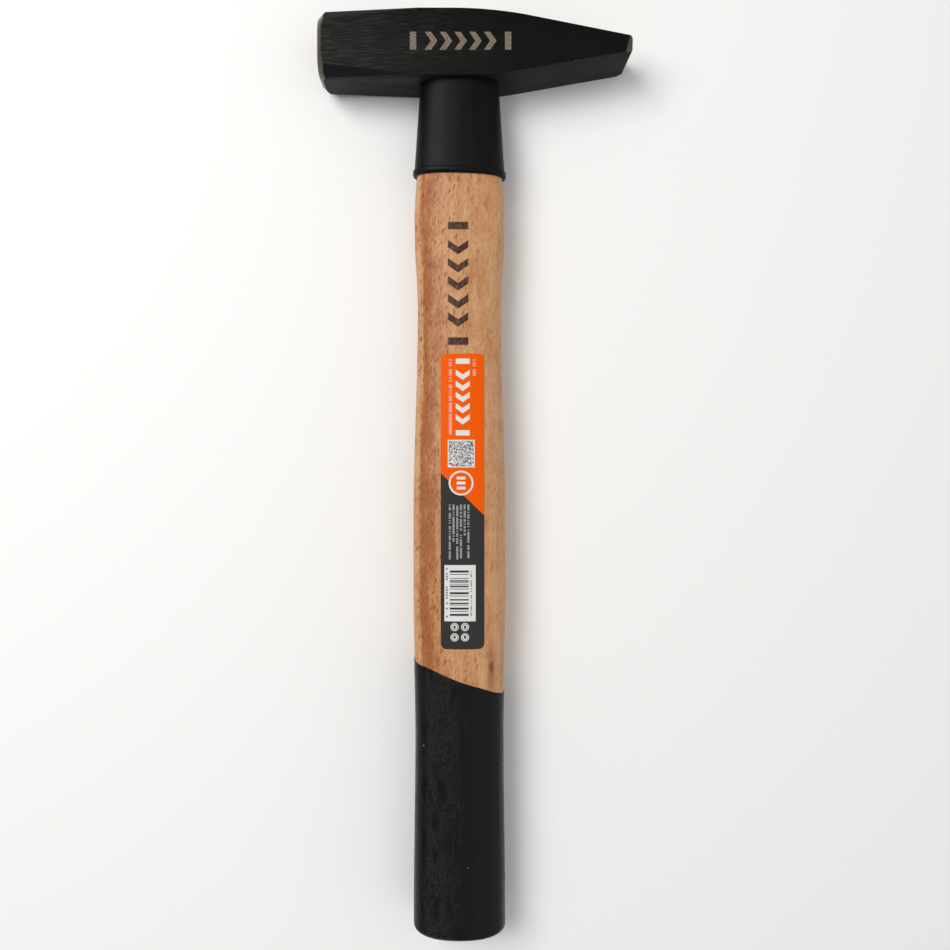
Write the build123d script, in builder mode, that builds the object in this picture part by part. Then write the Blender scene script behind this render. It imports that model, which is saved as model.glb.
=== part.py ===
from build123d import *
import math
import os

# Cross peen hammer of the 200 g size, lying on one cheek (millimetres).
# +X runs from the striking face to the peen, +Y from the butt to the head, +Z from cheek to cheek.

# --- overall sizes ---
overall_length = 281.0      # top of the head to the end of the grip
head_length = 95.0          # striking face to peen
head_height = 20.0          # along the handle
head_depth = 19.5           # cheek to cheek
axis_x = -4.6               # the handle's axis, nearer to the striking face
axis_z = head_depth / 2
top_y = overall_length / 2
underside_y = top_y - head_height

# --- head ---
top_knee_x = 5.5            # where the top starts down to the peen
top_knee_radius = 130.0
top_drop = 8.4
bottom_knee_x = 7.4
bottom_knee_radius = 70.0
bottom_rise = 7.1
peen_edge_radius = 1.0
peen_facet_low = 2.1        # how far the facet at each cheek reaches back from the peen's edge
peen_facet_high = 1.0
peen_facet_depth = 1.0
corner_cut_height = 3.5     # the four long corner chamfers, widest at the striking face
corner_cut_depth = 3.2
corner_cut_length = 31.0
face_chamfer = 1.2
face_chamfer_slope = 45.0    # degrees
face_corner_radius = 5.5
eye_bottom_length = 20.6
eye_bottom_width = 11.2
eye_top_length = 22.4
eye_top_width = 12.6
eye_mouth_chamfer = 0.5
eye_mouth_reach = 1.5       # the mouth's edges lie within this distance of the top
recess_start_x = -21.0      # rough forged panel in the top, from the eye end to the face end
recess_end_x = -43.0
recess_start_width = 16.4
recess_end_width = 10.4
recess_depth = 0.9
recess_wall_slope = 30.0    # degrees

# --- handle ---
# (distance from the top of the head, width) at each swell and waist
handle_widths = [
    (head_height, 21.9),
    (63.0, 27.9),
    (90.0, 25.8),
    (155.0, 28.5),
    (172.0, 28.5),
    (222.0, 26.9),
    (275.0, 27.9),
    (overall_length, 27.9),
]
neck_thickness = 12.4
grip_thickness = 17.8
thickening_length = 70.0    # the thickness eases from neck to grip over about this length
handle_sections = 28
oval_power = 2.5            # a little squarer than an ellipse
oval_points = 24
butt_radius = 1.6
butt_dome = 0.8             # how far the middle of the butt stands out past its sides
tenon_step_down = 0.2       # end grain lies just under the top of the head

# --- ring wedge ---
ring_outer_radius = 4.8
ring_wall = 1.1
ring_edge_wall = 0.3
ring_length = 9.0

# --- neck sleeve ---
sleeve_end = 48.8           # distance of its rim from the top of the head
sleeve_top_width = 24.3
sleeve_top_thickness = 14.8
sleeve_rim_width = 28.0
sleeve_rim_thickness = 15.8
lip_height = 2.0
lip_width = 28.8
lip_thickness = 16.6
lip_outer_radius = 0.9
lip_crease_radius = 0.4
rim_tilt = 1.5              # degrees, nearer to the head on the striking side

# --- grip coating and label ---
coating_thickness = 0.2
coating_edge = 202.4        # distance of its oblique edge from the top of the head, on the handle's axis
coating_edge_tilt = 19.8    # degrees
label_width = 13.1
label_length = 89.0
label_centre = 148.1        # distance from the top of the head
label_offset_x = 0.9
label_corner_radius = 1.7
label_thickness = 0.12


def station(distance, tilt=0.0):
    """The plane across the handle at a distance from the top of the head, tilted in degrees."""
    turn = math.radians(tilt)
    return Plane(
        origin=(axis_x, top_y - distance, axis_z),
        x_dir=(math.cos(turn), -math.sin(turn), 0),
        z_dir=(-math.sin(turn), -math.cos(turn), 0),
    )


def cutting_plane(first, second, third, away_from):
    """The plane through three points, facing away from a point inside the part."""
    normal = (second - first).cross(third - first).normalized()
    if normal.dot(away_from - first) > 0:
        normal = normal * -1
    return Plane(origin=first, z_dir=normal)


def rounding(value, power):
    return math.copysign(abs(value) ** power, value)


def oval_outline(width, thickness):
    """Points round a flattened oval."""
    turns = [2 * math.pi * (i + 0.5) / oval_points for i in range(oval_points)]
    bend = 2 / oval_power
    return [
        (width / 2 * rounding(math.cos(t), bend), thickness / 2 * rounding(math.sin(t), bend))
        for t in turns
    ]


def handle_width(distance):
    """The width, eased from one swell or waist to the next."""
    for (start, start_width), (end, end_width) in zip(handle_widths, handle_widths[1:]):
        if distance <= end:
            share = (distance - start) / (end - start)
            return start_width + (end_width - start_width) * share * share * (3 - 2 * share)
    return handle_widths[-1][1]


def handle_thickness(distance):
    still_thin = math.exp((head_height - distance) / thickening_length)
    return grip_thickness - (grip_thickness - neck_thickness) * still_thin


def handle_stations(end):
    """Evenly spaced (distance, width, thickness) from the underside of the head to the end."""
    step = (end - head_height) / (handle_sections - 1)
    distances = [head_height + i * step for i in range(handle_sections)]
    return [(d, handle_width(d), handle_thickness(d)) for d in distances]


def oval_loft(stations, extra=0.0, tilt=0.0):
    """A solid through flattened ovals, each grown by extra all round."""
    with BuildPart() as solid:
        for distance, width, thickness in stations:
            with BuildSketch(station(distance, tilt)):
                with BuildLine():
                    Spline(*oval_outline(width + 2 * extra, thickness + 2 * extra), periodic=True)
                make_face()
        loft()
    return solid.part


def domed_end(end, dome_radius):
    """All that lies before a domed end: a long plate whose last edge is an arc across the handle."""
    with BuildPart() as solid:
        with BuildSketch():
            with Locations((axis_x, top_y - end + dome_radius)):
                Circle(dome_radius)
                Rectangle(2 * dome_radius, 4 * dome_radius, align=(Align.CENTER, Align.MIN))
        extrude(amount=head_depth)
    return solid.part


def eye_solid():
    """The oval space through the head that the handle's tenon fills, wider at the top."""
    with BuildPart() as solid:
        with BuildSketch(station(head_height)):
            Ellipse(eye_bottom_length / 2, eye_bottom_width / 2)
        with BuildSketch(station(0)):
            Ellipse(eye_top_length / 2, eye_top_width / 2)
        loft()
    return solid.part


def ring_solid():
    """A steel ring whose wall thins towards its driven edge."""
    ring_plane = Plane(origin=(axis_x, top_y - tenon_step_down, axis_z), x_dir=(1, 0, 0), z_dir=(0, 0, 1))
    with BuildPart() as solid:
        with BuildSketch(ring_plane):
            with BuildLine():
                Polyline(
                    (ring_outer_radius - ring_wall, 0),
                    (ring_outer_radius, 0),
                    (ring_outer_radius, -ring_length),
                    (ring_outer_radius - ring_edge_wall, -ring_length),
                    close=True,
                )
            make_face()
        revolve(axis=Axis((axis_x, 0, axis_z), (0, 1, 0)))
    return solid.part


def head_bar(step_down=0.0):
    """A square bar drawn down to a blunt edge across the handle, its top lowered by step_down."""
    half = head_length / 2
    with BuildPart() as solid:
        with BuildSketch():
            with BuildLine():
                Polyline(
                    (-half, top_y - step_down),
                    (top_knee_x, top_y - step_down),
                    (half, top_y - top_drop - step_down),
                    (half, underside_y + bottom_rise),
                    (bottom_knee_x, underside_y),
                    (-half, underside_y),
                    close=True,
                )
            make_face()
            fillet(vertices().sort_by_distance((bottom_knee_x, underside_y))[0], bottom_knee_radius)
            fillet(vertices().sort_by_distance((top_knee_x, top_y - step_down))[0], top_knee_radius)
            fillet(vertices().sort_by(Axis.X)[-2:], peen_edge_radius)
        extrude(amount=head_depth)
    return solid.part


os.makedirs("parts", exist_ok=True)

ring_shape = ring_solid()

# --- head ---
with BuildPart() as hammer_head:
    add(head_bar())
    head_middle = Vector(0, (top_y + underside_y) / 2, axis_z)

    # blunt peen: a slanting facet where its edge meets each cheek
    for cheek in (1, -1):
        cheek_z = head_depth if cheek > 0 else 0
        low = Vector(head_length / 2 - peen_facet_low, underside_y + bottom_rise, cheek_z)
        high = Vector(head_length / 2 - peen_facet_high, top_y - top_drop, cheek_z)
        tip = Vector(head_length / 2, (low.Y + high.Y) / 2, cheek_z - cheek * peen_facet_depth)
        split(bisect_by=cutting_plane(low, high, tip, head_middle), keep=Keep.BOTTOM)

    # four long corner chamfers that fade out towards the eye
    for up in (1, -1):
        for cheek in (1, -1):
            edge_y = top_y if up > 0 else underside_y
            edge_z = head_depth if cheek > 0 else 0
            fade = Vector(-head_length / 2 + corner_cut_length, edge_y, edge_z)
            low = Vector(-head_length / 2, edge_y - up * corner_cut_height, edge_z)
            side = Vector(-head_length / 2, edge_y, edge_z - cheek * corner_cut_depth)
            split(bisect_by=cutting_plane(fade, low, side, head_middle), keep=Keep.BOTTOM)

    # chamfer round the striking face, conical at its corners
    face_plane = Plane(
        origin=(-head_length / 2, (top_y + underside_y) / 2, axis_z), x_dir=(0, 1, 0), z_dir=(1, 0, 0)
    )
    with BuildSketch(face_plane):
        RectangleRounded(
            head_height - 2 * face_chamfer, head_depth - 2 * face_chamfer, face_corner_radius
        )
    extrude(amount=head_length, taper=-face_chamfer_slope, mode=Mode.INTERSECT)

    # eye, with a broken edge round its mouth
    add(eye_solid(), mode=Mode.SUBTRACT)
    mouth_edges = edges(Select.LAST).filter_by_position(
        Axis.Y, top_y - eye_mouth_reach, top_y + eye_mouth_reach
    )
    chamfer(mouth_edges, eye_mouth_chamfer)

    # rough forged panel in the top, between the eye and the striking face
    with BuildSketch(Plane(origin=(0, top_y, axis_z), x_dir=(1, 0, 0), z_dir=(0, 1, 0))):
        with BuildLine():
            Polyline(
                (recess_start_x, -recess_start_width / 2),
                (recess_start_x, recess_start_width / 2),
                (recess_end_x, recess_end_width / 2),
                (recess_end_x, -recess_end_width / 2),
                close=True,
            )
        make_face()
    extrude(amount=-recess_depth, taper=recess_wall_slope, mode=Mode.SUBTRACT)
hammer_head.part.label = "hammer_head"
export_step(hammer_head.part, "parts/hammer_head.step")

# --- handle: turned oval beech, its tenon spread by the ring wedge ---
half_butt = handle_widths[-1][1] / 2
dome_radius = (half_butt ** 2 + butt_dome ** 2) / (2 * butt_dome)
with BuildPart() as handle:
    add(oval_loft(handle_stations(overall_length - coating_thickness)))
    add(domed_end(overall_length - coating_thickness, dome_radius), mode=Mode.INTERSECT)
    fillet(faces().sort_by(Axis.Y)[0].edges(), butt_radius)
    add(eye_solid() & head_bar(tenon_step_down))
    add(ring_shape, mode=Mode.SUBTRACT)
handle.part.label = "handle"
export_step(handle.part, "parts/handle.step")

with BuildPart() as ring_wedge:
    add(ring_shape)
ring_wedge.part.label = "ring_wedge"
export_step(ring_wedge.part, "parts/ring_wedge.step")

# --- sleeve that guards the neck, with a rolled lip at its slightly tilted rim ---
with BuildPart() as neck_sleeve:
    add(oval_loft([
        (sleeve_end - lip_height, lip_width, lip_thickness),
        (sleeve_end, lip_width, lip_thickness),
    ], tilt=rim_tilt))
    fillet(faces().sort_by(Axis.Y)[0].edges(), lip_outer_radius)
    fillet(faces().sort_by(Axis.Y)[-1].edges(), lip_crease_radius)
    add(oval_loft([
        (head_height, sleeve_top_width, sleeve_top_thickness),
        (sleeve_end - lip_height / 2, sleeve_rim_width, sleeve_rim_thickness),
    ]))
    add(handle.part, mode=Mode.SUBTRACT)
neck_sleeve.part.label = "neck_sleeve"
export_step(neck_sleeve.part, "parts/neck_sleeve.step")

# --- black dipped coat on the grip, ending in an oblique edge ---
with BuildPart() as grip_coating:
    add(oval_loft(handle_stations(overall_length), coating_thickness))
    add(domed_end(overall_length, dome_radius + coating_thickness), mode=Mode.INTERSECT)
    fillet(faces().sort_by(Axis.Y)[0].edges(), butt_radius + coating_thickness)
    slant = math.radians(coating_edge_tilt)
    edge_plane = Plane(
        origin=(axis_x, top_y - coating_edge, axis_z), z_dir=(math.sin(slant), math.cos(slant), 0)
    )
    split(bisect_by=edge_plane, keep=Keep.BOTTOM)
    add(handle.part, mode=Mode.SUBTRACT)
grip_coating.part.label = "grip_coating"
export_step(grip_coating.part, "parts/grip_coating.step")

# --- printed label stuck on the flat of the handle ---
with BuildPart() as label:
    add(oval_loft(handle_stations(overall_length), label_thickness))
    with BuildSketch(Plane.XY.offset(axis_z)):
        with Locations((axis_x + label_offset_x, top_y - label_centre)):
            RectangleRounded(label_width, label_length, label_corner_radius)
    extrude(amount=head_depth, mode=Mode.INTERSECT)
    add(handle.part, mode=Mode.SUBTRACT)
label.part.label = "label"
export_step(label.part, "parts/label.step")
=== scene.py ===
import math

import bpy
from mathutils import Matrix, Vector


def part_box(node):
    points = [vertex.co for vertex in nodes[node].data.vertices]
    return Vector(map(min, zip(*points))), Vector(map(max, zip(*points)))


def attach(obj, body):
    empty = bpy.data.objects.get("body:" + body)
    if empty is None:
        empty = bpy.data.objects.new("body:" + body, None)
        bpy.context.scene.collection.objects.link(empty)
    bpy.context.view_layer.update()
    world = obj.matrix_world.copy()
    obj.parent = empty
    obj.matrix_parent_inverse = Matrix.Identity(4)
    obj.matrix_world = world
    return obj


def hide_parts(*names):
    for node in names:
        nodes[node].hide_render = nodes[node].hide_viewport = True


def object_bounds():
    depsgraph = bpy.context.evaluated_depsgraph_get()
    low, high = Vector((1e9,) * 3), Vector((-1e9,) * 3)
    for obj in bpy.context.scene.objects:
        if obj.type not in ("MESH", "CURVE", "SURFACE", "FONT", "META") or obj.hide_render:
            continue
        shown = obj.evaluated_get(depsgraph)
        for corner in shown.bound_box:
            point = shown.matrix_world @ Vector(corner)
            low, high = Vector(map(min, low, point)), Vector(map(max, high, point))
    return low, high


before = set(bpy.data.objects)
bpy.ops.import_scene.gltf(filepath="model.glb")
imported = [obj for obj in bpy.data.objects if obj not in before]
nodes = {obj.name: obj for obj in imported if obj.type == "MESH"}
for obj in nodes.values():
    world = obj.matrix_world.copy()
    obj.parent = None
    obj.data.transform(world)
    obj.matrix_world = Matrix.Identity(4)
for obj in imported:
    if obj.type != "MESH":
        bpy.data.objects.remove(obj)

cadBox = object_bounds()
mm = 0.001  # everything in the scene is in metres

headLow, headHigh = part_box("hammer_head")
handleLow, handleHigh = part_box("handle")
coatLow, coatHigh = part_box("grip_coating")
labelLow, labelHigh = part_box("label")
handleAxisX = (handleLow.x + handleHigh.x) / 2
handleAxisZ = (handleLow.z + handleHigh.z) / 2


def linear(hexText):
    # sRGB hex to the linear colour that shaders take
    channels = [int(hexText[i:i + 2], 16) / 255 for i in (1, 3, 5)]
    return (*[c / 12.92 if c <= 0.04045 else ((c + 0.055) / 1.055) ** 2.4 for c in channels], 1.0)


def addNode(tree, kind, sockets=None, stops=None, **settings):
    # one node with its settings and its sockets' values; a node as a value means its first live output
    node = tree.nodes.new("ShaderNode" + kind)
    for name, value in settings.items():
        setattr(node, name, value)
    for socket, value in (sockets or {}).items():
        if isinstance(value, bpy.types.Node):
            value = next(out for out in value.outputs if out.enabled)
        if isinstance(value, bpy.types.NodeSocket):
            tree.links.new(value, node.inputs[socket])
        else:
            node.inputs[socket].default_value = value
    if stops:
        ramp = node.color_ramp
        while len(ramp.elements) < len(stops):
            ramp.elements.new(0.5)
        for element, (place, hexText) in zip(ramp.elements, stops):
            element.position = place
            element.color = linear(hexText)
    return node


def newMaterial(name):
    material = bpy.data.materials.new(name)
    material.use_nodes = True
    tree = material.node_tree
    tree.nodes.clear()
    place = addNode(tree, "TexCoord").outputs["Object"]
    return material, tree, place


def finishMaterial(tree, height, distance, **sockets):
    # the shader, with the height pattern as a bump of that many millimetres
    names = {name.replace("_", " "): value for name, value in sockets.items()}
    bump = addNode(tree, "Bump", {"Height": height, "Distance": distance * mm, "Strength": 1.0})
    shader = addNode(tree, "BsdfPrincipled", {"Normal": bump, **names})
    addNode(tree, "OutputMaterial", {"Surface": shader})


def stretched(tree, place, size, turn=0.0, centre=(0, 0, 0)):
    # coordinates about centre in which one unit is size, in millimetres, along each turned axis
    return addNode(tree, "Mapping", {"Vector": place, "Location": centre, "Rotation": (0, 0, turn),
                                     "Scale": Vector(size) * mm}, vector_type="TEXTURE")


def printPoint(tree, place, corner, along, across):
    # flat coordinates in millimetres, from a corner and two directions: x runs along, y runs across
    fromCorner = addNode(tree, "VectorMath", {0: place, 1: corner}, operation="SUBTRACT")
    x = addNode(tree, "VectorMath", {0: fromCorner, 1: Vector(along) / mm}, operation="DOT_PRODUCT")
    y = addNode(tree, "VectorMath", {0: fromCorner, 1: Vector(across) / mm}, operation="DOT_PRODUCT")
    return addNode(tree, "CombineXYZ", {0: x.outputs["Value"], 1: y.outputs["Value"]})


def boxMask(tree, point, low, high, soft=0.03):
    # 1 inside the rectangle from low to high, in millimetres
    centre = [(a + b) / 2 for a, b in zip(low, high)] + [0]
    half = [(b - a) / 2 for a, b in zip(low, high)] + [0]
    offset = addNode(tree, "VectorMath", {0: point, 1: centre}, operation="SUBTRACT")
    size = addNode(tree, "VectorMath", {0: offset}, operation="ABSOLUTE")
    outside = addNode(tree, "SeparateXYZ", {0: addNode(
        tree, "VectorMath", {0: size, 1: half}, operation="SUBTRACT")})
    edge = addNode(tree, "Math", {0: outside.outputs["X"], 1: outside.outputs["Y"]}, operation="MAXIMUM")
    return addNode(tree, "MapRange", {"Value": edge, "From Min": soft, "From Max": -soft})


def discMask(tree, point, centre, radius, soft=0.04):
    # 1 inside the circle, in millimetres
    reach = addNode(tree, "VectorMath", {0: point, 1: (*centre, 0)}, operation="DISTANCE")
    return addNode(tree, "MapRange", {
        "Value": reach.outputs["Value"], "From Min": radius + soft, "From Max": radius - soft})


def joinMasks(tree, masks, operation="MAXIMUM"):
    joined = masks[0]
    for mask in masks[1:]:
        joined = addNode(tree, "Math", {0: joined, 1: mask}, operation=operation)
    return joined


chevronSlope = 0.7  # how far a chevron's arms run along the mark for each millimetre across it


def barsAndChevrons(tree, point, length, height, stroke, chevrons, soft=0.05):
    # a plain mark: a bar, some chevrons, a bar; point runs 0..length along it and is centred across it
    flat = addNode(tree, "SeparateXYZ", {0: point})
    across = addNode(tree, "Math", {0: flat.outputs["Y"]}, operation="ABSOLUTE")
    lean = addNode(tree, "Math", {0: across, 1: chevronSlope, 2: flat.outputs["X"]},
                   operation="MULTIPLY_ADD")
    leaning = addNode(tree, "CombineXYZ", {0: lean, 1: flat.outputs["Y"]})
    tip = chevronSlope * height / 2
    gap = (length - 2 * stroke - tip - chevrons * stroke) / (chevrons + 1)
    marks = [
        boxMask(tree, point, (0, -height / 2), (stroke, height / 2), soft),
        boxMask(tree, point, (length - stroke, -height / 2), (length, height / 2), soft),
    ]
    for i in range(chevrons):
        start = stroke + gap + tip + i * (stroke + gap)
        marks.append(boxMask(tree, leaning, (start, -height / 2), (start + stroke, height / 2), soft))
    return joinMasks(tree, marks)


def pickOnly(piece):
    bpy.ops.object.select_all(action="DESELECT")
    piece.select_set(True)
    bpy.context.view_layer.objects.active = piece


def applyModifier(piece, kind, **settings):
    pickOnly(piece)
    modifier = piece.modifiers.new(kind.title(), kind)
    for name, value in settings.items():
        setattr(modifier, name, value)
    bpy.ops.object.modifier_apply(modifier=modifier.name)


def copyOfNode(nodeName, pieceName, flatAngle):
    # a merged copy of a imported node, its flat faces whole again
    piece = bpy.data.objects.new(pieceName, nodes[nodeName].data.copy())
    bpy.context.scene.collection.objects.link(piece)
    pickOnly(piece)
    bpy.ops.mesh.customdata_custom_splitnormals_clear()
    bpy.ops.object.mode_set(mode="EDIT")
    bpy.ops.mesh.select_all(action="SELECT")
    bpy.ops.mesh.remove_doubles(threshold=0.001 * mm)
    bpy.ops.mesh.dissolve_limited(angle_limit=math.radians(flatAngle))
    bpy.ops.object.mode_set(mode="OBJECT")
    return piece


head = {
    "flatAngle": 1.2,           # degrees between faces that are one flat face
    "edgeRound": 0.22,          # mm, the break left on a sharp edge after forging and grinding
    "edgeAngle": 24.0,          # degrees, from where an edge is sharp enough to be broken
    "smoothAngle": 28.0,
    "lacquer": "#080807",
    "lacquerLine": "#403f3b",
    # lighter lacquer tone for the faces turned down: painted sheen
    "underSheenLacquer": "#18181b",
    "lineSize": (6.0, 0.16),    # mm along and across, the grinding lines under the lacquer
    "linesEnd": 57.0,           # mm from the striking face, where they have faded
    "patchSize": 9.0,           # mm, the rubbed patches
    "edgeTones": ("#161614", "#7b756c"),   # the lacquer on an edge, and the steel in its nicks
    "nickSize": 3.5,
    "markStart": (28.0, 7.3),   # mm from the striking face and from the top of the head
    "markSize": (30.4, 5.4),
    "markStroke": 1.9,
    "markChevrons": 5,
    "markReach": 0.3,           # mm below the upper cheek
    "etched": "#85776a",
    "biteSize": 0.5,            # mm, the speckle that etching leaves
    "groundTones": ("#605b53", "#827d74", "#9f9a91"),
    # a darker copy of the ground steel tones, for the face chamfer and the peen facets: painted shade
    "shadedSteelTones": ("#463f37", "#5f574d", "#7c7469"),
    "beltLine": (12.0, 0.3),    # mm along and across, the lines of the grinding belt
    "faceDepth": 0.5,           # mm from the striking face that still belong to it
    "peenFacets": 2.4,          # mm from the peen's tip, the ground facets
    "hollowSpan": (3.0, 27.5),  # mm from the striking face, where the forged hollow lies
    "hollowInset": 1.5,         # mm that it stays away from each cheek
    "hollowDrop": 0.3,          # mm below the top, from where a face is one of its own
    "hollowCuts": 44,
    "hollowRim": 0.1,           # mm of its floor that stay flat all round
    "hollowRelief": 0.9,        # mm, how rough it is
    "hollowLump": 1.3,          # mm between its lumps
    "scaleTones": ("#2b2a28", "#141413"),
    "scaleGrain": 0.7,
}
# how much of an axis a face's normal holds, from straight along it to only slightly towards it
straight, halfTurned, slanting, slight = 0.9, 0.5, 0.4, 0.3
lacquerSlot, groundSlot, shadedSteelSlot, wornSlot, hollowSlot = range(5)


def lineHeight(tree, place, along, across):
    # long thin lines along X
    grit = stretched(tree, place, (along, across, across))
    return addNode(tree, "TexNoise", {"Vector": grit, "Scale": 1.0, "Detail": 2.0, "Roughness": 0.6})


def patchNoise(tree, place):
    return addNode(tree, "TexNoise", {"Vector": place, "Scale": 1 / (head["patchSize"] * mm), "Detail": 4.0})


def groundSteel(name, tones):
    # bare steel dressed on a grinding belt: slightly warm grey, with lines one way
    material, tree, place = newMaterial(name)
    lines = lineHeight(tree, place, *head["beltLine"])
    cloud = patchNoise(tree, place)
    mix = addNode(tree, "Math", {0: lines, 1: cloud}, operation="MULTIPLY")
    tone = addNode(tree, "ValToRGB", {0: mix}, stops=list(zip((0.12, 0.26, 0.42), tones)))
    gloss = addNode(tree, "MapRange", {"Value": cloud, "To Min": 0.28, "To Max": 0.46})
    finishMaterial(tree, lines, 0.03, Base_Color=tone, Roughness=gloss, Metallic=1.0)
    return material


def blackLacquer():
    # thin black lacquer over forged steel: matt, near black, grinding lines show through near the face
    material, tree, place = newMaterial("black lacquer on forged steel")
    lines = lineHeight(tree, place, *head["lineSize"])
    sharpLines = addNode(tree, "MapRange", {"Value": lines, "From Min": 0.49, "From Max": 0.67})
    flat = addNode(tree, "SeparateXYZ", {0: place})
    towardsFace = addNode(tree, "MapRange", {
        "Value": flat.outputs["X"], "From Min": headLow.x + head["linesEnd"] * mm, "From Max": headLow.x,
        "To Min": 0.1, "To Max": 1.0})
    patches = patchNoise(tree, place)
    rubbed = addNode(tree, "MapRange", {"Value": patches, "From Min": 0.36, "From Max": 0.62, "To Min": 0.5})
    # the lines are on the cheeks only; the chamfers and underside that face down are painted a lighter,
    # bluish grey: painted sheen
    facing = addNode(tree, "SeparateXYZ", {0: addNode(tree, "TexCoord").outputs["Normal"]})
    tilt = addNode(tree, "Math", {0: facing.outputs["Z"]}, operation="ABSOLUTE")
    onCheek = addNode(tree, "MapRange", {"Value": tilt, "From Min": 0.85, "From Max": 0.97})
    looksDown = addNode(tree, "MapRange", {"Value": facing.outputs["Y"], "From Min": 0.0, "From Max": -0.3})
    # painted sheen mask: faces looking down, off the cheeks
    paintedUnderSheen = addNode(tree, "Math", {0: looksDown, 1: onCheek}, operation="SUBTRACT", use_clamp=True)
    showing = joinMasks(tree, [sharpLines, towardsFace, rubbed, onCheek], "MULTIPLY")
    ground = addNode(tree, "Mix", {0: paintedUnderSheen, 6: linear(head["lacquer"]), 7: linear(head["underSheenLacquer"])},
                     data_type="RGBA")
    lined = addNode(tree, "Mix", {0: showing, 6: ground.outputs[2], 7: linear(head["lacquerLine"])},
                    data_type="RGBA")
    # the etched mark stands on the upper cheek only
    corner = Vector((headLow.x + head["markStart"][0] * mm,
                     headHigh.y - (head["markStart"][1] + head["markSize"][1] / 2) * mm, 0))
    point = printPoint(tree, place, corner, (1, 0, 0), (0, 1, 0))
    mark = barsAndChevrons(tree, point, *head["markSize"], head["markStroke"], head["markChevrons"])
    upper = addNode(tree, "Math", {0: flat.outputs["Z"], 1: headHigh.z - head["markReach"] * mm},
                    operation="GREATER_THAN")
    speckle = addNode(tree, "TexNoise", {"Vector": place, "Scale": 1 / (head["biteSize"] * mm),
                                         "Detail": 2.0})
    bitten = addNode(tree, "MapRange", {"Value": speckle, "From Min": 0.35, "From Max": 0.6, "To Min": 0.45})
    etched = joinMasks(tree, [mark, upper, bitten], "MULTIPLY")
    tone = addNode(tree, "Mix", {0: etched, 6: lined.outputs[2], 7: linear(head["etched"])},
                   data_type="RGBA")
    gloss = addNode(tree, "MapRange", {"Value": patches, "To Min": 0.42, "To Max": 0.6})
    relief = addNode(tree, "Math", {0: lines, 1: etched}, operation="SUBTRACT")
    finishMaterial(tree, relief, 0.02, Base_Color=tone.outputs[2], Roughness=gloss, Specular_IOR_Level=0.09)
    return material


def wornEdge():
    # lacquer on the broken edges: mostly whole, rubbed through to steel in short nicks
    material, tree, place = newMaterial("rubbed lacquer edge")
    rub = addNode(tree, "TexNoise", {"Vector": place, "Scale": 1 / (head["nickSize"] * mm), "Detail": 4.0,
                                     "Roughness": 0.7})
    nick = addNode(tree, "MapRange", {"Value": rub, "From Min": 0.63, "From Max": 0.67})
    whole, rubbed = head["edgeTones"]
    tone = addNode(tree, "Mix", {0: nick, 6: linear(whole), 7: linear(rubbed)}, data_type="RGBA")
    gloss = addNode(tree, "MapRange", {"Value": rub, "To Min": 0.35, "To Max": 0.6})
    finishMaterial(tree, rub, 0.03, Base_Color=tone.outputs[2], Roughness=gloss, Specular_IOR_Level=0.2)
    return material


def forgedHollow():
    # as-forged hollow under lacquer: pitted and glittering in the light
    material, tree, place = newMaterial("lacquered forging scale")
    grit = addNode(tree, "TexVoronoi", {"Vector": place, "Scale": 1 / (head["scaleGrain"] * mm)})
    tone = addNode(tree, "ValToRGB", {0: grit}, stops=list(zip((0.1, 0.6), head["scaleTones"])))
    finishMaterial(tree, grit, 0.12, Base_Color=tone, Roughness=0.34)
    return material


def headSlot(face):
    # which finish a face has, from its place in millimetres and the way it looks
    middle, normal = face.center, face.normal
    fromFace = (middle.x - headLow.x) / mm
    fromPeen = (headHigh.x - middle.x) / mm
    fromTop = (headHigh.y - middle.y) / mm
    fromCheek = min(headHigh.z - middle.z, middle.z - headLow.z) / mm
    hollowStart, hollowEnd = head["hollowSpan"]
    inHollow = (hollowStart < fromFace < hollowEnd and fromCheek > head["hollowInset"]
                and fromTop > head["hollowDrop"] and normal.y > slanting)
    onFace = fromFace < head["faceDepth"] and normal.x < -straight
    onTop = normal.y > straight
    onFaceChamfer = normal.x < -halfTurned
    onPeenFacet = fromPeen < head["peenFacets"] and normal.x > slight and normal.y > -halfTurned
    if inHollow:
        return hollowSlot
    if onFace or onTop:
        return groundSlot
    # the face chamfer and peen facets, which face sideways, take the darker steel as painted shade
    if onFaceChamfer or onPeenFacet:
        return shadedSteelSlot
    return wornSlot if face.material_index == wornSlot else lacquerSlot


def roughenHollow(piece):
    # the hollow's floor gets a fine grid, and all of it but the rim is pushed up and down
    bpy.ops.object.mode_set(mode="EDIT")
    bpy.ops.mesh.select_all(action="DESELECT")
    bpy.ops.mesh.select_mode(type="FACE")
    bpy.ops.object.mode_set(mode="OBJECT")
    floors = [face for face in piece.data.polygons
              if headSlot(face) == hollowSlot and face.normal.y > straight]
    floor = max(floors, key=lambda face: face.area)
    floor.select = True
    rimX = [piece.data.vertices[i].co.x for i in floor.vertices]
    rimZ = [piece.data.vertices[i].co.z for i in floor.vertices]
    depth = floor.center.y
    bpy.ops.object.mode_set(mode="EDIT")
    bpy.ops.mesh.subdivide(number_cuts=head["hollowCuts"])
    bpy.ops.object.mode_set(mode="OBJECT")
    rim = head["hollowRim"] * mm
    inside = piece.vertex_groups.new(name="hollow")
    inside.add([v.index for v in piece.data.vertices
                if min(rimX) + rim < v.co.x < max(rimX) - rim
                and min(rimZ) + rim < v.co.z < max(rimZ) - rim
                and abs(v.co.y - depth) < rim / 2], 1.0, "REPLACE")
    lumps = bpy.data.textures.new("forged lumps", "CLOUDS")
    lumps.noise_scale = head["hollowLump"] * mm
    applyModifier(piece, "DISPLACE", texture=lumps, texture_coords="LOCAL", direction="Y",
                  vertex_group="hollow", strength=head["hollowRelief"] * mm)
    piece.vertex_groups.clear()


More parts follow.
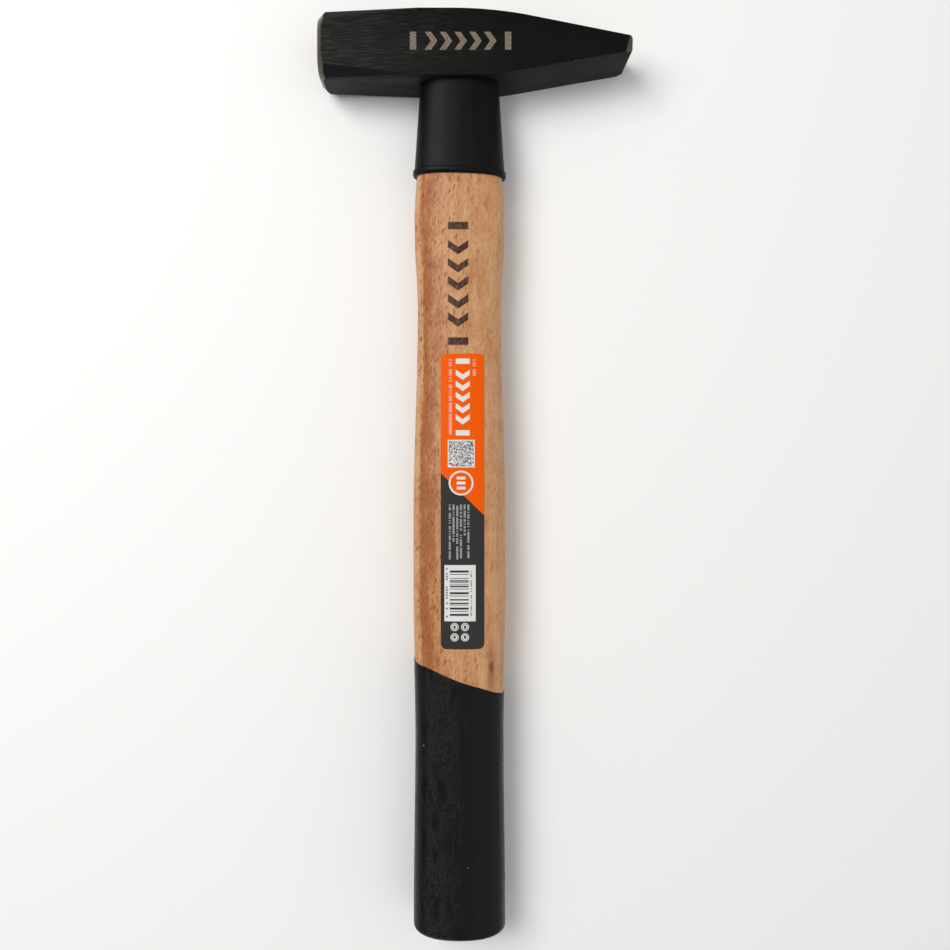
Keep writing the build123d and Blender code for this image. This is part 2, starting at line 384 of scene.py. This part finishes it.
def makeHead():
    piece = copyOfNode("hammer_head", "forged_head", head["flatAngle"])
    piece.data.materials.clear()
    for material in (blackLacquer(), groundSteel("ground carbon steel", head["groundTones"]),
                     groundSteel("ground carbon steel with painted shade", head["shadedSteelTones"]), wornEdge(),
                     forgedHollow()):
        piece.data.materials.append(material)
    applyModifier(piece, "BEVEL", width=head["edgeRound"] * mm, segments=2, limit_method="ANGLE",
                  angle_limit=math.radians(head["edgeAngle"]), material=wornSlot, harden_normals=False)
    roughenHollow(piece)
    for face in piece.data.polygons:
        face.material_index = headSlot(face)
    pickOnly(piece)
    bpy.ops.object.shade_smooth_by_angle(angle=math.radians(head["smoothAngle"]))
    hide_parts("hammer_head")
    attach(piece, "root")


makeHead()
print("head ready")


beech = {
    "pale": "#ca9b70",
    "body": "#ba8356",
    "red": "#9c5e35",
    "fleck": "#7c3f1a",
    "fleckSizes": ((0.9, 3.6), (0.55, 2.2)),   # mm across and along, the larger and the smaller ones
    "fleckLean": -14.0,          # degrees off the handle's line
    "streakSize": (1.6, 30.0),
    "wanderSize": (25.0, 70.0),  # how slowly the streaks wander off their line
    "wanderBy": 3.0,
    "cloudSize": (4.5, 8.0),
    "fibreSize": (0.4, 1.8),
    "streakShare": 0.3,          # how much each pattern does to the wood's tone
    "cloudShare": 0.42,
    "fibreShare": 0.38,
    "sideShadeShare": -0.19,          # painted shade: the side facing the striking end, darker and redder
    "edgeHighlightShare": 0.24,           # painted highlight: the very edge of that side, pale
    "awayLightShare": 0.07,           # painted light: the other side, lighter
    "fleckBand": (9.0, -3.0),    # mm right of the handle's axis, where they are few and where they are many
    "knot": (9.7, 198.4),        # mm right of the handle's axis, and from the top of the head
    "knotSize": (0.9, 2.3),
    "knotStreak": (1.2, 9.0),
    "knotDepth": 12.0,
    "knotTone": "#74371b",
    "endGrain": ("#8d5f48", "#c79f86", "#d9b69c"),
    "poreSize": 0.35,
    "markStart": 63.7,           # mm from the top of the head
    "markLeft": 0.4,             # mm that its middle lies towards the striking face
    "markSize": (37.3, 6.2),
    "markStroke": 2.3,
    "markChevrons": 5,
    "burned": "#2f1408",
}


def alongHandle(tree, place, size, lean=0.0):
    # coordinates in which one unit is size, in millimetres, across and along the handle
    across, along = size
    return stretched(tree, place, (across, along, across), math.radians(lean))


def waxedBeech():
    # steamed beech, turned and waxed: pink-brown with short dark ray flecks and long soft streaks
    material, tree, place = newMaterial("waxed beech")
    flat = addNode(tree, "SeparateXYZ", {0: place})
    facing = addNode(tree, "SeparateXYZ", {0: addNode(tree, "TexCoord").outputs["Normal"]})
    # streaks wander a little along the handle
    wander = addNode(tree, "TexNoise", {"Vector": alongHandle(tree, place, beech["wanderSize"]),
                                        "Scale": 1.0, "Detail": 1.0})
    wanderBy = beech["wanderBy"] * mm
    drift = addNode(tree, "VectorMath", {0: wander.outputs["Color"], 1: (wanderBy, 0, wanderBy), 2: place},
                    operation="MULTIPLY_ADD")
    streaks = addNode(tree, "TexNoise", {"Vector": alongHandle(tree, drift, beech["streakSize"]),
                                         "Scale": 1.0, "Detail": 3.0, "Roughness": 0.55})
    clouds = addNode(tree, "TexNoise", {"Vector": alongHandle(tree, drift, beech["cloudSize"]), "Scale": 1.0,
                                        "Detail": 4.0, "Roughness": 0.6, "Distortion": 0.5})
    fibre = addNode(tree, "TexNoise", {
        "Vector": alongHandle(tree, drift, beech["fibreSize"], beech["fleckLean"] / 2), "Scale": 1.0,
        "Detail": 3.0, "Roughness": 0.6})
    # painted shade towards the striking side, darker and redder; a painted highlight along its very edge and
    # painted light on the other side
    side = addNode(tree, "MapRange", {"Value": facing.outputs["X"], "From Min": -0.1, "From Max": -0.4})
    edge = addNode(tree, "MapRange", {"Value": facing.outputs["X"], "From Min": -0.6, "From Max": -0.76})
    away = addNode(tree, "MapRange", {"Value": facing.outputs["X"], "From Min": 0.1, "From Max": 0.5})
    tones = addNode(tree, "Math", {0: streaks, 1: beech["streakShare"]}, operation="MULTIPLY")
    for layer, share in ((clouds, "cloudShare"), (fibre, "fibreShare"), (side, "sideShadeShare"),
                         (edge, "edgeHighlightShare"), (away, "awayLightShare")):
        tones = addNode(tree, "Math", {0: layer, 1: beech[share], 2: tones}, operation="MULTIPLY_ADD")
    wood = addNode(tree, "ValToRGB", {0: tones}, stops=[
        (0.36, beech["red"]), (0.5, beech["body"]), (0.66, beech["pale"])])
    # short lens-shaped flecks in some of the cells, thicker on the striking side
    layers = []
    for across, along in beech["fleckSizes"]:
        cells = addNode(tree, "TexVoronoi", {"Vector": stretched(
            tree, drift, (across, along, along), math.radians(beech["fleckLean"])), "Scale": 1.0})
        lens = addNode(tree, "MapRange", {"Value": cells.outputs["Distance"], "From Min": 0.36,
                                          "From Max": 0.1})
        chance = addNode(tree, "SeparateXYZ", {0: cells.outputs["Color"]})
        chosen = addNode(tree, "MapRange", {"Value": chance.outputs["X"], "From Min": 0.35,
                                            "From Max": 0.6})
        layers.append(joinMasks(tree, [lens, chosen], "MULTIPLY"))
    few, many = [handleAxisX + right * mm for right in beech["fleckBand"]]
    dense = addNode(tree, "MapRange", {"Value": flat.outputs["X"], "From Min": few, "From Max": many,
                                       "To Min": 0.35, "To Max": 1.0})
    flecks = joinMasks(tree, [joinMasks(tree, layers), dense], "MULTIPLY")
    flecked = addNode(tree, "Mix", {0: flecks, 6: wood, 7: linear(beech["fleck"])}, data_type="RGBA")
    # a small knot near the grip, in a reddish streak
    knotRight, knotDown = beech["knot"]
    knotCentre = (handleAxisX + knotRight * mm, headHigh.y - knotDown * mm, handleHigh.z)
    spots = []
    for size, strength in ((beech["knotSize"], 0.85), (beech["knotStreak"], 0.4)):
        ellipse = stretched(tree, place, (*size, beech["knotDepth"]), centre=knotCentre)
        reach = addNode(tree, "VectorMath", {0: ellipse}, operation="LENGTH")
        spots.append(addNode(tree, "MapRange", {"Value": reach.outputs["Value"], "From Min": 1.3,
                                                "From Max": 0.5, "To Max": strength}))
    knotted = addNode(tree, "Mix", {0: joinMasks(tree, spots), 6: flecked.outputs[2],
                                    7: linear(beech["knotTone"])}, data_type="RGBA")
    # the burned mark, on the upper side only
    corner = Vector((handleAxisX - beech["markLeft"] * mm, headHigh.y - beech["markStart"] * mm, 0))
    point = printPoint(tree, place, corner, (0, -1, 0), (1, 0, 0))
    mark = barsAndChevrons(tree, point, *beech["markSize"], beech["markStroke"], beech["markChevrons"], 0.12)
    upper = addNode(tree, "Math", {0: flat.outputs["Z"], 1: handleAxisZ}, operation="GREATER_THAN")
    ash = addNode(tree, "MapRange", {"Value": fibre, "From Min": 0.35, "From Max": 0.55, "To Min": 0.75})
    burned = joinMasks(tree, [mark, upper, ash], "MULTIPLY")
    marked = addNode(tree, "Mix", {0: burned, 6: knotted.outputs[2], 7: linear(beech["burned"])},
                     data_type="RGBA")
    # end grain where the tenon shows in the eye: pores, pinker and paler
    endOn = addNode(tree, "MapRange", {"Value": facing.outputs["Y"], "From Min": 0.5, "From Max": 0.7})
    pores = addNode(tree, "TexVoronoi", {"Vector": place, "Scale": 1 / (beech["poreSize"] * mm)})
    endTone = addNode(tree, "ValToRGB", {0: pores}, stops=list(zip((0.05, 0.3, 0.8), beech["endGrain"])))
    tone = addNode(tree, "Mix", {0: endOn, 6: marked.outputs[2], 7: endTone}, data_type="RGBA")
    gloss = addNode(tree, "MapRange", {"Value": streaks, "To Min": 0.38, "To Max": 0.58})
    sunk = addNode(tree, "Math", {0: flecks, 1: 0.2, 2: burned}, operation="MULTIPLY_ADD")
    relief = addNode(tree, "Math", {0: streaks, 1: sunk}, operation="SUBTRACT")
    finishMaterial(tree, relief, 0.04, Base_Color=tone.outputs[2], Roughness=gloss, Specular_IOR_Level=0.25)
    return material


nodes["handle"].material_slots[0].material = waxedBeech()
print("handle ready")


ring = {
    "tones": ("#8c8a86", "#c9c7c2"),
    "dentSize": 1.2,  # mm, the dents from driving it in
}


def drawnSteel():
    # cut from drawn steel tube and hammered in: bright, with small dull dents
    material, tree, place = newMaterial("drawn steel tube")
    dents = addNode(tree, "TexNoise", {"Vector": place, "Scale": 1 / (ring["dentSize"] * mm), "Detail": 3.0})
    tone = addNode(tree, "ValToRGB", {0: dents}, stops=list(zip((0.3, 0.65), ring["tones"])))
    gloss = addNode(tree, "MapRange", {"Value": dents, "To Min": 0.2, "To Max": 0.4})
    finishMaterial(tree, dents, 0.05, Base_Color=tone, Roughness=gloss, Metallic=1.0)
    return material


nodes["ring_wedge"].material_slots[0].material = drawnSteel()
print("ring wedge ready")


sleeve = {
    "tones": ("#080807", "#10100f"),
    "grainSize": 0.45,        # mm, the mould's spark-eroded texture
    "flowSize": (3.0, 22.0),  # mm across and along, the faint lines in which the plastic flowed
}


def mouldedPlastic():
    # black polypropylene from a spark-eroded mould: matt, with a fine even texture
    material, tree, place = newMaterial("moulded black polypropylene")
    grain = addNode(tree, "TexNoise", {"Vector": place, "Scale": 1 / (sleeve["grainSize"] * mm),
                                       "Detail": 2.0})
    flow = addNode(tree, "TexNoise", {"Vector": alongHandle(tree, place, sleeve["flowSize"]), "Scale": 1.0,
                                      "Detail": 2.0})
    tone = addNode(tree, "ValToRGB", {0: flow}, stops=list(zip((0.3, 0.7), sleeve["tones"])))
    gloss = addNode(tree, "MapRange", {"Value": flow, "To Min": 0.36, "To Max": 0.5})
    finishMaterial(tree, grain, 0.06, Base_Color=tone, Roughness=gloss, Specular_IOR_Level=0.11)
    return material


nodes["neck_sleeve"].material_slots[0].material = mouldedPlastic()
print("sleeve ready")


dip = {
    "flatAngle": 0.1,            # degrees between faces that are one flat face
    "smoothAngle": 35.0,
    "body": "#111112",
    # near-black band on the faces turned left: painted shade
    "darkBandShade": "#050505",
    # lighter tone on the raised grain: grain showing through, with painted glints
    "grainGlintTone": "#2b2b30",
    "speck": "#8d8f90",
    "grainSize": (0.45, 1.0),    # mm across and along, the wood's grain under the coat
    "mottleSize": (2.4, 9.0),    # the patches where it shows
    "speckSpacing": 6.0,
    "speckRadius": 0.045,        # as a part of that spacing
    "edgeLean": 19.8,            # degrees, how far its edge slants across the handle
    "edgeBand": 0.4,             # mm on either side of that line that are still edge
    "edgeWave": 1.3,             # mm, how far the edge wanders
    "waveLength": 8.0,
}


def dippedLacquer():
    # black lacquer dipped over bare wood: satin, the grain and raised fibres telegraph through
    material, tree, place = newMaterial("dipped black lacquer")
    grain = addNode(tree, "TexNoise", {"Vector": alongHandle(tree, place, dip["grainSize"]), "Scale": 1.0,
                                       "Detail": 3.0, "Roughness": 0.7})
    mottle = addNode(tree, "TexNoise", {"Vector": alongHandle(tree, place, dip["mottleSize"]), "Scale": 1.0,
                                        "Detail": 4.0, "Roughness": 0.65})
    # the raised grain is tinted lighter only on faces turned a little left, where the key light falls: grain
    # with painted glints; faces turned further left get a near-black band, painted shade
    facing = addNode(tree, "SeparateXYZ", {0: addNode(tree, "TexCoord").outputs["Normal"]})
    paintedGlintSide = joinMasks(tree, [
        addNode(tree, "MapRange", {"Value": facing.outputs["X"], "From Min": 0.08, "From Max": -0.12,
                                   "To Min": 0.1}),
        addNode(tree, "MapRange", {"Value": facing.outputs["X"], "From Min": -0.6, "From Max": -0.3,
                                   "To Min": 0.2})], "MULTIPLY")
    raised = addNode(tree, "MapRange", {"Value": grain, "From Min": 0.38, "From Max": 0.66})
    patchy = addNode(tree, "MapRange", {"Value": mottle, "From Min": 0.36, "From Max": 0.6, "To Min": 0.2})
    grainAndGlintMask = joinMasks(tree, [raised, paintedGlintSide, patchy], "MULTIPLY")
    # painted shade: the near-black band on faces turned further left
    paintedDarkBand = addNode(tree, "MapRange", {"Value": facing.outputs["X"], "From Min": -0.45,
                                          "From Max": -0.62})
    grained = addNode(tree, "ValToRGB", {0: grainAndGlintMask}, stops=[(0.1, dip["body"]), (0.7, dip["grainGlintTone"])])
    coat = addNode(tree, "Mix", {0: paintedDarkBand, 6: grained, 7: linear(dip["darkBandShade"])}, data_type="RGBA")
    # a few specks of dust caught in the coat
    cells = addNode(tree, "TexVoronoi", {"Vector": place, "Scale": 1 / (dip["speckSpacing"] * mm)})
    chance = addNode(tree, "SeparateXYZ", {0: cells.outputs["Color"]})
    specks = joinMasks(tree, [
        addNode(tree, "Math", {0: cells.outputs["Distance"], 1: dip["speckRadius"]}, operation="LESS_THAN"),
        addNode(tree, "Math", {0: chance.outputs["X"], 1: 0.4}, operation="GREATER_THAN")], "MULTIPLY")
    tone = addNode(tree, "Mix", {0: specks, 6: coat.outputs[2], 7: linear(dip["speck"])}, data_type="RGBA")
    gloss = addNode(tree, "MapRange", {"Value": mottle, "From Min": 0.3, "From Max": 0.7, "To Min": 0.2,
                                       "To Max": 0.42})
    finishMaterial(tree, grainAndGlintMask, 0.3, Base_Color=tone.outputs[2], Roughness=gloss,
                   Specular_IOR_Level=0.14)
    return material


def dippedGrip():
    # the dip's edge wanders a little where the lacquer crept along the grain
    piece = copyOfNode("grip_coating", "dipped_grip", dip["flatAngle"])
    slope = math.tan(math.radians(dip["edgeLean"]))
    band = dip["edgeBand"] * mm
    rim = piece.vertex_groups.new(name="rim")
    rim.add([v.index for v in piece.data.vertices
             if abs(v.co.y - coatHigh.y + (v.co.x - coatLow.x) * slope) < band], 1.0, "REPLACE")
    wave = bpy.data.textures.new("rim wave", "CLOUDS")
    wave.noise_scale = dip["waveLength"] * mm
    applyModifier(piece, "DISPLACE", texture=wave, texture_coords="LOCAL", direction="Y", vertex_group="rim",
                  strength=dip["edgeWave"] * mm)
    piece.vertex_groups.clear()
    piece.data.materials.clear()
    piece.data.materials.append(dippedLacquer())
    bpy.ops.object.shade_smooth_by_angle(angle=math.radians(dip["smoothAngle"]))
    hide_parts("grip_coating")
    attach(piece, "root")


dippedGrip()
print("grip ready")


sticker = {
    "orange": "#ec5900",
    "grey": "#333332",
    "white": "#dddbd8",
    "ink": "#34343a",
    "splitAt": (36.0, 48.8),     # mm below the top, at the left and right edges
    "markStart": (4.5, 1.5),     # all places below are mm from the left edge and from the top
    "markSize": (23.2, 4.2),
    "markStroke": 1.6,
    "markChevrons": 5,
    "smallLines": [((2.4, 1.8), (3.6, 24.7)), ((9.6, 1.8), (10.8, 7.0))],
    "smallPrint": (1.2, 0.42, 0.8),         # a row, a dash along it, and the dash's share of the row
    "textBlock": ((2.4, 45.5), (9.0, 62.0)),
    "textPrint": (1.12, 0.36, 0.55),
    "printStrength": 0.5,
    "code": ((2.1, 26.0), (10.2, 34.3)),
    "codeMargin": 0.3,
    "codeSquare": 0.27,
    "codeStrength": 0.8,
    "ringAt": (6.1, 39.0),
    "ringRadii": (3.2, 3.74),
    "ringBar": (1.3, 0.42),                 # half the length and half the width of the bars in it
    "ringBarPitch": 1.5,
    "panel": ((1.1, 63.7), (10.5, 80.6)),
    "bars": ((2.7, 65.3), (8.4, 79.2)),
    "barLine": 0.21,
    "panelPrint": ((0.9, 0.8, 0.7), (0.8, 0.4, 0.7)),   # left and right of the bars
    "panelStrength": 0.7,
    "icons": (5.725, 83.85),                # the middle of all four
    "iconGap": (1.575, 1.55),
    "iconRadii": (0.8, 0.98, 1.22),         # inside and outside of the dark ring, then the white disc
    "iconBar": ((-0.32, -0.5), (0.34, 0.4)),
    "filmGrain": 2.5,
}


def numberAbove(tree, value, limit):
    return addNode(tree, "Math", {0: value, 1: limit}, operation="GREATER_THAN")


def dashRows(tree, point, low, high, row, dash, body):
    # rows of short dashes that stand for fine print; the rows run down the label and end unevenly
    fromLow = addNode(tree, "VectorMath", {0: point, 1: (*low, 0)}, operation="SUBTRACT")
    cell = addNode(tree, "VectorMath", {0: fromLow, 1: (row, dash, 1)}, operation="DIVIDE")
    index = addNode(tree, "SeparateXYZ", {0: addNode(tree, "VectorMath", {0: cell}, operation="FLOOR")})
    inCell = addNode(tree, "SeparateXYZ", {0: addNode(tree, "VectorMath", {0: cell}, operation="FRACTION")})
    there = addNode(tree, "TexWhiteNoise", {"Vector": addNode(
        tree, "CombineXYZ", {0: index.outputs["X"], 1: index.outputs["Y"]})}, noise_dimensions="2D")
    rowLength = addNode(tree, "MapRange", {"Value": addNode(
        tree, "TexWhiteNoise", {"W": index.outputs["X"]}, noise_dimensions="1D").outputs["Value"],
        "To Min": 0.55 * (high[1] - low[1]) / dash, "To Max": 1.3 * (high[1] - low[1]) / dash})
    masks = [
        numberAbove(tree, there.outputs["Value"], 0.2),
        addNode(tree, "Math", {0: inCell.outputs["X"], 1: body}, operation="LESS_THAN"),
        addNode(tree, "Math", {0: inCell.outputs["Y"], 1: 0.72}, operation="LESS_THAN"),
        addNode(tree, "Math", {0: index.outputs["Y"], 1: rowLength}, operation="LESS_THAN"),
        boxMask(tree, point, low, high),
    ]
    return joinMasks(tree, masks, "MULTIPLY")


def printedVinyl():
    # printed vinyl film: even satin ink, orange over dark grey, with white and black print
    material, tree, place = newMaterial("printed vinyl film")
    corner = Vector((labelLow.x, labelHigh.y, 0))
    point = printPoint(tree, place, corner, (1, 0, 0), (0, -1, 0))
    flat = addNode(tree, "SeparateXYZ", {0: point})
    # ground: orange above a slanting split, grey below
    left, right = sticker["splitAt"]
    slope = (right - left) / ((labelHigh.x - labelLow.x) / mm)
    split = addNode(tree, "Math", {0: flat.outputs["X"], 1: slope, 2: left}, operation="MULTIPLY_ADD")
    below = addNode(tree, "Math", {0: flat.outputs["Y"], 1: split}, operation="SUBTRACT")
    belowMask = addNode(tree, "MapRange", {"Value": below, "From Min": -0.05, "From Max": 0.05})
    inRing = discMask(tree, point, sticker["ringAt"], sum(sticker["ringRadii"]) / 2)
    greyMask = addNode(tree, "Math", {0: belowMask, 1: inRing}, operation="SUBTRACT", use_clamp=True)
    ground = addNode(tree, "Mix", {0: greyMask, 6: linear(sticker["orange"]), 7: linear(sticker["grey"])},
                     data_type="RGBA")
    # white print
    markX, markY = sticker["markStart"]
    markPoint = addNode(tree, "CombineXYZ", {
        0: addNode(tree, "Math", {0: flat.outputs["Y"], 1: markY}, operation="SUBTRACT"),
        1: addNode(tree, "Math", {0: flat.outputs["X"], 1: markX + sticker["markSize"][1] / 2},
                   operation="SUBTRACT")})
    ringIn, ringOut = sticker["ringRadii"]
    ring = addNode(tree, "Math", {0: discMask(tree, point, sticker["ringAt"], ringOut),
                                  1: discMask(tree, point, sticker["ringAt"], ringIn)}, operation="SUBTRACT")
    ringX, ringY = sticker["ringAt"]
    halfLong, halfWide = sticker["ringBar"]
    ringBars = []
    for i in (-1, 0, 1):
        barY = ringY + i * sticker["ringBarPitch"]
        ringBars.append(boxMask(tree, point, (ringX - halfLong, barY - halfWide),
                                (ringX + halfLong, barY + halfWide)))
    # four icons from one, folded about their middle: a white disc with a thin dark ring and a dark bar
    folded = addNode(tree, "VectorMath", {0: addNode(tree, "VectorMath", {
        0: addNode(tree, "VectorMath", {0: point, 1: (*sticker["icons"], 0)}, operation="SUBTRACT")},
        operation="ABSOLUTE"), 1: (*sticker["iconGap"], 0)}, operation="SUBTRACT")
    inner, outer, disc = [discMask(tree, folded, (0, 0), radius) for radius in sticker["iconRadii"]]
    picture = joinMasks(tree, [addNode(tree, "Math", {0: outer, 1: inner}, operation="SUBTRACT"),
                               boxMask(tree, folded, *sticker["iconBar"])])
    icon = addNode(tree, "Math", {0: disc, 1: picture}, operation="SUBTRACT")
    mark = barsAndChevrons(tree, markPoint, *sticker["markSize"], sticker["markStroke"],
                           sticker["markChevrons"])
    whites = [mark, ring, icon, boxMask(tree, point, *sticker["code"]),
              boxMask(tree, point, *sticker["panel"])] + ringBars
    fine = [dashRows(tree, point, *line, *sticker["smallPrint"]) for line in sticker["smallLines"]]
    fine.append(dashRows(tree, point, *sticker["textBlock"], *sticker["textPrint"]))
    fineMask = addNode(tree, "Math", {0: joinMasks(tree, fine), 1: sticker["printStrength"]},
                       operation="MULTIPLY")
    whiteMask = joinMasks(tree, whites + [fineMask])
    printed = addNode(tree, "Mix", {0: whiteMask, 6: ground.outputs[2], 7: linear(sticker["white"])},
                      data_type="RGBA")
    # black print: the code's random squares and the panel's bars
    square = sticker["codeSquare"]
    squares = addNode(tree, "VectorMath", {0: addNode(
        tree, "VectorMath", {0: point, 1: (square, square, 1)}, operation="DIVIDE")}, operation="FLOOR")
    squareDraw = addNode(tree, "TexWhiteNoise", {"Vector": squares}, noise_dimensions="2D")
    (codeX, codeY), (codeRight, codeEnd) = sticker["code"]
    margin = sticker["codeMargin"]
    inCode = boxMask(tree, point, (codeX + margin, codeY + margin), (codeRight - margin, codeEnd - margin))
    codeMask = joinMasks(tree, [numberAbove(tree, squareDraw.outputs["Value"], 0.48), inCode], "MULTIPLY")
    rows = addNode(tree, "Math", {0: addNode(
        tree, "Math", {0: flat.outputs["Y"], 1: sticker["barLine"]}, operation="DIVIDE")}, operation="FLOOR")
    rowDraw = addNode(tree, "TexWhiteNoise", {"W": rows}, noise_dimensions="1D")
    barMask = joinMasks(tree, [numberAbove(tree, rowDraw.outputs["Value"], 0.52),
                               boxMask(tree, point, *sticker["bars"])], "MULTIPLY")
    # small print in the panel, on both sides of its bars
    (panelLeft, panelTop), (panelRight, panelEnd) = sticker["panel"]
    leftPrint, rightPrint = sticker["panelPrint"]
    beside = [dashRows(tree, point, (panelLeft + 0.4, panelTop + 0.8), (panelLeft + 1.3, panelEnd - 0.8),
                       *leftPrint),
              dashRows(tree, point, (panelRight - 1.6, panelTop + 1.8), (panelRight - 0.8, panelEnd - 1.5),
                       *rightPrint)]
    besideMask = addNode(tree, "Math", {0: joinMasks(tree, beside), 1: sticker["panelStrength"]},
                         operation="MULTIPLY")
    codeInk = addNode(tree, "Math", {0: codeMask, 1: sticker["codeStrength"]}, operation="MULTIPLY")
    inkMask = joinMasks(tree, [codeInk, barMask, besideMask])
    tone = addNode(tree, "Mix", {0: inkMask, 6: printed.outputs[2], 7: linear(sticker["ink"])},
                   data_type="RGBA")
    film = addNode(tree, "TexNoise", {"Vector": place, "Scale": 1 / (sticker["filmGrain"] * mm),
                                      "Detail": 2.0})
    gloss = addNode(tree, "MapRange", {"Value": film, "To Min": 0.42, "To Max": 0.54})
    finishMaterial(tree, film, 0.01, Base_Color=tone.outputs[2], Roughness=gloss, Specular_IOR_Level=0.08)
    return material


nodes["label"].material_slots[0].material = printedVinyl()
print("label ready")


studio = {
    "floor": "#f4f3f1",
    "floorSize": 6.0,                 # m
    "floorGrain": 2.0,                # mm
    "ambient": 0.3,
    "key": ((-0.5, 0.32, 0.82), 0.6, 8.0),    # place and size in metres, power in watts
    "fill": ((0.8, -0.2, 0.75), 1.8, 5.0),
    "lens": 34.4,                     # mm
    "sensor": 36.0,
    "eye": (-5.1, 13.75, 272.0),      # mm from the object's middle, the last above its upper side
    "shift": (0.018, -0.047),
}


def softBox(name, location, size, power):
    # a square area light that looks at the object
    light = bpy.data.lights.new(name, "AREA")
    light.shape = "RECTANGLE"
    light.size = size
    light.size_y = size
    light.energy = power
    lamp = bpy.data.objects.new(name, light)
    lamp.location = location
    lamp.rotation_euler = (-lamp.location).to_track_quat("-Z", "Y").to_euler()
    bpy.context.scene.collection.objects.link(lamp)


def paleFloor():
    # painted board: matt and nearly white
    material, tree, place = newMaterial("matt white board")
    fibre = addNode(tree, "TexNoise", {"Vector": place, "Scale": 1 / (studio["floorGrain"] * mm),
                                       "Detail": 2.0})
    finishMaterial(tree, fibre, 0.01, Base_Color=linear(studio["floor"]), Roughness=0.8)
    return material


bpy.ops.object.select_all(action="DESELECT")
bpy.ops.mesh.primitive_plane_add(size=studio["floorSize"], location=(0, 0, cadBox[0][2]))
floor = bpy.context.object
floor.name = "floor"
floor.data.materials.append(paleFloor())

world = bpy.data.worlds.new("studio")
world.use_nodes = True
world.node_tree.nodes["Background"].inputs["Strength"].default_value = studio["ambient"]
world.node_tree.nodes["Background"].inputs["Color"].default_value = linear("#ffffff")
bpy.context.scene.world = world

for name in ("key", "fill"):
    softBox(name, *studio[name])

lens = bpy.data.cameras.new("camera")
lens.lens = studio["lens"]
lens.sensor_width = studio["sensor"]
lens.clip_start = 0.01
lens.shift_x, lens.shift_y = studio["shift"]
eye = bpy.data.objects.new("camera", lens)
eyeX, eyeY, eyeAbove = studio["eye"]
middleX, middleY = [(low + high) / 2 for low, high in zip(*cadBox)][:2]
eye.location = (middleX + eyeX * mm, middleY + eyeY * mm, cadBox[1][2] + eyeAbove * mm)
bpy.context.scene.collection.objects.link(eye)
bpy.context.scene.camera = eye
bpy.context.scene.view_settings.view_transform = "Standard"
print("stage ready")
